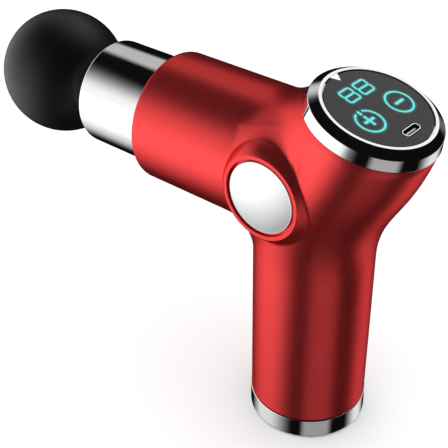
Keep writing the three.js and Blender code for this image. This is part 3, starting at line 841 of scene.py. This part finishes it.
def panel_glass_disc():
    """The glass, whose loops run from the socket's slot out to its rim and round to its back."""
    radius, thickness, edge = 19.15, 1.2, 0.15
    gap = 0.3
    reach, round_end = (USB["width"] - USB["height"]) / 2, USB["height"] / 2 + gap
    steps = 240
    angles = [2 * math.pi * k / steps for k in range(steps)]
    rim = [np.array([radius * math.cos(a), radius * math.sin(a)]) for a in angles]
    bevel = [spot * (radius - edge) / radius for spot in rim]
    slot = []
    for spot in rim:
        dx, dy = (spot - (USB["x"], 0)) / np.linalg.norm(spot - (USB["x"], 0))
        along = slot_reach(dx, dy, reach, round_end)
        slot.append((USB["x"] + along * dx, along * dy))
    bm = bmesh.new()
    loops_solid(bm, [
        at_height(slot, -thickness),
        at_height(slot, 0),
        at_height(bevel, 0),
        at_height(rim, -edge),
        at_height(rim, -thickness),
    ], PANEL)
    detail_piece(bm, "panel_glass", "panel_glass")


def usb_inlet():
    wall, top, bottom = USB["wall"], USB["proud"], USB["proud"] - USB["depth"]
    floor_height, edge = 0.6, 0.05
    outer, outer_top, inner_top, inner = (
        stadium(USB["width"] - walls * wall, USB["height"] - walls * wall) for walls in (0, 0.2, 1.8, 2)
    )
    bm = bmesh.new()
    loops_solid(bm, [
        at_height(inner, bottom + floor_height),
        at_height(inner, top - edge),
        at_height(inner_top, top),
        at_height(outer_top, top),
        at_height(outer, top - edge),
        at_height(outer, bottom),
    ], PANEL, closed=False)
    detail_piece(bm, "usb_port", "chrome")


def usb_tongue():
    width, thickness, top, edge = 6.6, 0.7, -0.85, 0.08
    height = top - (USB["proud"] - USB["depth"]) - 0.8
    bm = bmesh.new()
    bmesh.ops.create_cube(bm, size=1)
    bmesh.ops.scale(bm, vec=(thickness, width, height), verts=bm.verts)
    bmesh.ops.bevel(bm, geom=bm.edges[:], offset=edge, segments=2, affect="EDGES")
    middle = Vector((USB["x"], 0, top - height / 2))
    bmesh.ops.transform(bm, matrix=PANEL @ Matrix.Translation(middle), verts=bm.verts)
    detail_piece(bm, "usb_tongue", "steel")


# ---------------------------------------------------------------- icons
# Places on the glass are (x, y), x to the panel's rear and y to its left.
STROKE = 0.82  # width of an outline
BAR = 1.15  # width of a bar inside a ring
GLASS_LAYERS = {"halo": (0.004, 0.02), "icon": (0.024, 0.05)}  # heights over the glass of the painted glow and of the lit icons
HALO_WIDTH = 1.3
DIGIT_SIDES = ((-7.0, -0.5), (0.9, 7.7))  # where each digit starts and ends along y
DIGIT_BOXES = ((-12.95, -9.2), (-10.1, -6.35))  # where its two boxes start and end along x
DIGIT_CORNER = 0.9
RING = 5.5  # outer radius
MINUS = {"ring": (2.4, 8.9), "bar": [(2.4, 6.9), (2.4, 10.9)]}
PLUS = {
    "ring": (2.45, -8.6),
    "bars": ([(0.1, -8.6), (4.1, -8.6)], [(2.1, -10.8), (2.1, -6.4)], [(-2.6, -8.6), (-1.5, -8.6)]),
    "gap": math.radians(22),
}


def ribbon(bm, path, width, heights, closed):
    """A flat stroke of constant width along a path on the glass, round at open ends."""
    path = np.array(path, float)
    if closed:
        ahead, behind = np.roll(path, -1, axis=0), np.roll(path, 1, axis=0)
    else:
        ahead, behind = np.vstack([path[1:], path[-1:]]), np.vstack([path[:1], path[:-1]])
    along = ahead - behind
    along /= np.linalg.norm(along, axis=1, keepdims=True)
    across = np.stack([-along[:, 1], along[:, 0]], -1) * width / 2
    low, high = heights
    if closed:
        left, right = path + across, path - across
        loops_solid(bm, [
            at_height(left, low),
            at_height(left, high),
            at_height(right, high),
            at_height(right, low),
        ], PANEL)
        return
    outline = list(path + across)
    steps = 8
    for end, way, back in ((path[-1], across[-1], (path - across)[::-1]), (path[0], -across[0], ())):
        onward = np.array([way[1], -way[0]])
        for k in range(1, steps):
            angle = math.pi * k / steps
            outline.append(end + math.cos(angle) * way + math.sin(angle) * onward)
        outline.extend(back)
    loops_solid(bm, [at_height(outline, low), at_height(outline, high)], PANEL, closed=False)


def ring_path(middle, gap=0.0):
    """Points round a ring icon, with an opening towards -x that reaches gap to each side."""
    radius, steps = RING - STROKE / 2, 72
    start = -math.pi + gap if gap else 0.0
    sweep = 2 * (math.pi - gap)
    angles = [start + sweep * k / steps for k in range(steps + 1 if gap else steps)]
    return [(middle[0] + radius * math.cos(a), middle[1] + radius * math.sin(a)) for a in angles]


def box_path(front, rear, left, right):
    """Points round a rounded box whose stroke stays inside the limits."""
    inset = STROKE / 2
    front, rear, left, right = front + inset, rear - inset, left + inset, right - inset
    corners = ((front, left), (rear, left), (rear, right), (front, right))
    return filleted([(*corner, DIGIT_CORNER) for corner in corners])


def icon_strokes():
    """Each lit stroke as its path, whether that is closed, and its width."""
    boxes = [box_path(*limits, *sides) for sides, limits in product(DIGIT_SIDES, DIGIT_BOXES)]
    strokes = [(path, True, STROKE) for path in boxes]
    strokes.append((ring_path(MINUS["ring"]), True, STROKE))
    strokes.append((MINUS["bar"], False, BAR))
    strokes.append((ring_path(PLUS["ring"], PLUS["gap"]), False, STROKE))
    strokes += [(path, False, BAR) for path in PLUS["bars"]]
    return strokes


def icons():
    """The lit strokes, over a wider and fainter copy that stands for their glow."""
    for name, surface, grow in (("halo", HALO, HALO_WIDTH), ("icon", SURFACES["display"], 0)):
        bm = bmesh.new()
        for path, closed, width in icon_strokes():
            ribbon(bm, path, width + grow, GLASS_LAYERS[name], closed)
        finish_mesh(bm, f"panel_{name}s", surface, "housing", weighted=False)


def white_triangle():
    """A white triangle on the glass at the bezel's inner edge, its tip towards the digits."""
    base, tip, half = -19.6, -16.3, 2.2
    bm = bmesh.new()
    outline = [(base, -half), (tip, 0), (base, half)]
    low, high = GLASS_LAYERS["icon"]
    loops_solid(bm, [at_height(outline, low), at_height(outline, high + 0.1)], PANEL, closed=False)
    finish_mesh(bm, "panel_white_triangle", TRIANGLE_WHITE, "housing", weighted=False)


# ---------------------------------------------------------------- carried-over CAD nodes
def finish_cad_nodes():
    """Gives each node that the frame brings in the material of its slot."""
    slots = {part["node"]: part["material_slot"] for part in frame["record"]["subparts"]}
    for node, piece in frame["nodes"].items():
        piece.data.materials.clear()
        piece.data.materials.append(SURFACES[slots[node]].material)


# ---------------------------------------------------------------- studio
CAMERA = {
    "azimuth": math.radians(40.565),
    "elevation": math.radians(34.127),
    "roll": math.radians(-0.673),
    "lens": 79.54,
    "location": (172.0, -253.3, 294.8),
}

# What polished and satin surfaces see, as soft-edged boxes of light round the object. Azimuth 0 is towards
# -Y and 90 towards +X. Each box has its range of azimuth, the softness of those two edges, its range of
# elevation, the softness of those two, and a brightness. Angles are in degrees.
SOFTBOXES = {
    "key": ((-89, -21), (21, 28), (-51, 30), (18, 17), 1.0),
    "key_core": ((-92, -16), (16, 8), (-33, 2), (13, 10), 0.5),
    "fill": ((28, 83), (7, 8), (-55, -12), (25, 25), 0.42),
    "rim": ((136, 177), (18, 14), (-62, -6), (10, 8), 0.8),
    "overhead_left": ((-150, -114), (10, 7), (21, 60), (5, 10), 0.5),
    "overhead_rear": ((-215, -150), (10, 8), (30, 75), (8, 8), 1.0),
}
# How far a box's left and right edge lean per degree of elevation over LEAN_FROM. Above LEAN_TO they lean no
# further.
LEAN = {"key": (-0.7, 0.4), "key_core": (-0.5, 0.4), "fill": (0.4, 0.0)}
LEAN_FROM, LEAN_TO = -45.0, -15.0
AMBIENT = 0.004
FLOOR_LIGHT = 1.5


def math_node(tree, operation, *values):
    """The result of one math node, fed with numbers or with the results of others."""
    made = tree.nodes.new("ShaderNodeMath")
    made.operation = operation
    for socket, value in zip(made.inputs, values):
        if isinstance(value, bpy.types.NodeSocket):
            tree.links.new(value, socket)
        else:
            socket.default_value = value
    return made.outputs[0]


def smooth_step(tree, value, edge, softness):
    """Rises from 0 to 1 where a value passes an edge."""
    made = tree.nodes.new("ShaderNodeMapRange")
    made.interpolation_type = "SMOOTHSTEP"
    made.inputs["From Min"].default_value = edge - softness
    made.inputs["From Max"].default_value = edge + softness
    tree.links.new(value, made.inputs["Value"])
    return made.outputs["Result"]


def softbox(tree, name, azimuth, elevation, climb):
    """The light of one box towards a direction."""
    (left, right), soft_sides, (low, high), soft_ends, brightness = SOFTBOXES[name]
    middle, half = (left + right) / 2, (right - left) / 2
    calc = partial(math_node, tree)
    turned_to = calc("WRAP", calc("SUBTRACT", azimuth, middle), 180.0, -180.0)
    lean_left, lean_right = (calc("MULTIPLY", climb, lean) for lean in LEAN.get(name, (0.0, 0.0)))
    from_left = smooth_step(tree, calc("SUBTRACT", turned_to, lean_left), -half, soft_sides[0])
    past_right = smooth_step(tree, calc("SUBTRACT", turned_to, lean_right), half, soft_sides[1])
    from_low = smooth_step(tree, elevation, low, soft_ends[0])
    past_high = smooth_step(tree, elevation, high, soft_ends[1])
    across = calc("MULTIPLY", from_left, calc("SUBTRACT", 1.0, past_right))
    upright = calc("MULTIPLY", from_low, calc("SUBTRACT", 1.0, past_high))
    return calc("MULTIPLY", calc("MULTIPLY", across, upright), brightness)


def studio_light(tree):
    """The grey level of each direction: all the boxes and a faint glow."""
    calc = partial(math_node, tree)
    direction = tree.nodes.new("ShaderNodeSeparateXYZ")
    tree.links.new(tree.nodes.new("ShaderNodeTexCoord").outputs["Generated"], direction.inputs[0])
    x, y, z = direction.outputs
    azimuth = calc("MULTIPLY", calc("ARCTAN2", x, calc("MULTIPLY", y, -1.0)), math.degrees(1))
    elevation = calc("MULTIPLY", calc("ARCSINE", z), math.degrees(1))
    climb = calc("SUBTRACT", calc("MINIMUM", elevation, LEAN_TO), LEAN_FROM)
    light = AMBIENT
    for name in SOFTBOXES:
        light = calc("ADD", softbox(tree, name, azimuth, elevation, climb), light)
    return light


def studio_world():
    """Mirrors see the boxes, matt surfaces an even light and the camera plain white."""
    world = bpy.data.worlds.new("studio")
    bpy.context.scene.world = world
    world.use_nodes = True
    world.cycles.sampling_method = "NONE"
    tree = world.node_tree
    tree.nodes.clear()
    rays = tree.nodes.new("ShaderNodeLightPath")

    def background(strength):
        made = tree.nodes.new("ShaderNodeBackground")
        made.inputs["Color"].default_value = (1, 1, 1, 1)
        made.inputs["Strength"].default_value = strength
        return made

    def choose(rays_that, otherwise, chosen):
        made = tree.nodes.new("ShaderNodeMixShader")
        tree.links.new(rays.outputs[rays_that], made.inputs[0])
        tree.links.new(otherwise.outputs[0], made.inputs[1])
        tree.links.new(chosen.outputs[0], made.inputs[2])
        return made

    studio = background(1.0)
    tree.links.new(studio_light(tree), studio.inputs["Color"])
    seen = choose("Is Diffuse Ray", studio, background(FLOOR_LIGHT))
    seen = choose("Is Camera Ray", seen, background(1.0))
    output = tree.nodes.new("ShaderNodeOutputWorld")
    tree.links.new(seen.outputs[0], output.inputs["Surface"])


def floor():
    size = 6.0
    bm = bmesh.new()
    bmesh.ops.create_grid(bm, x_segments=1, y_segments=1, size=size)
    mesh = bpy.data.meshes.new("floor")
    bm.to_mesh(mesh)
    bm.free()
    plane = bpy.data.objects.new("floor", mesh)
    bpy.context.scene.collection.objects.link(plane)
    plane.visible_glossy = False
    pale = Surface("floor", (0.82, 0.82, 0.82), 0.0, 0.9, Specular_IOR_Level=0.0)
    mesh.materials.append(pale.material)


def camera():
    azimuth, elevation, roll = CAMERA["azimuth"], CAMERA["elevation"], CAMERA["roll"]
    back = Vector((
        math.sin(azimuth) * math.cos(elevation),
        -math.cos(azimuth) * math.cos(elevation),
        math.sin(elevation),
    ))
    right = Vector((math.cos(azimuth), math.sin(azimuth), 0))
    turned_right = Matrix.Rotation(roll, 3, back) @ right
    data = bpy.data.cameras.new("camera")
    data.lens = CAMERA["lens"]
    data.sensor_width = 36
    data.clip_start, data.clip_end = 0.01, 20
    eye = bpy.data.objects.new("camera", data)
    eye.matrix_world = Matrix.Translation(Vector(CAMERA["location"]) * MM) @ Matrix(
        (turned_right, back.cross(turned_right), back)
    ).transposed().to_4x4()
    bpy.context.scene.collection.objects.link(eye)
    bpy.context.scene.camera = eye


camera()
studio_world()
floor()
bpy.context.scene.view_settings.view_transform = "Standard"

finish_cad_nodes()
casing()
front_sleeve()
massage_ball()
head_stem()
stem_ring()
side_caps()
foot()
panel_bezel()
panel_glass_disc()
usb_inlet()
usb_tongue()
icons()
white_triangle()
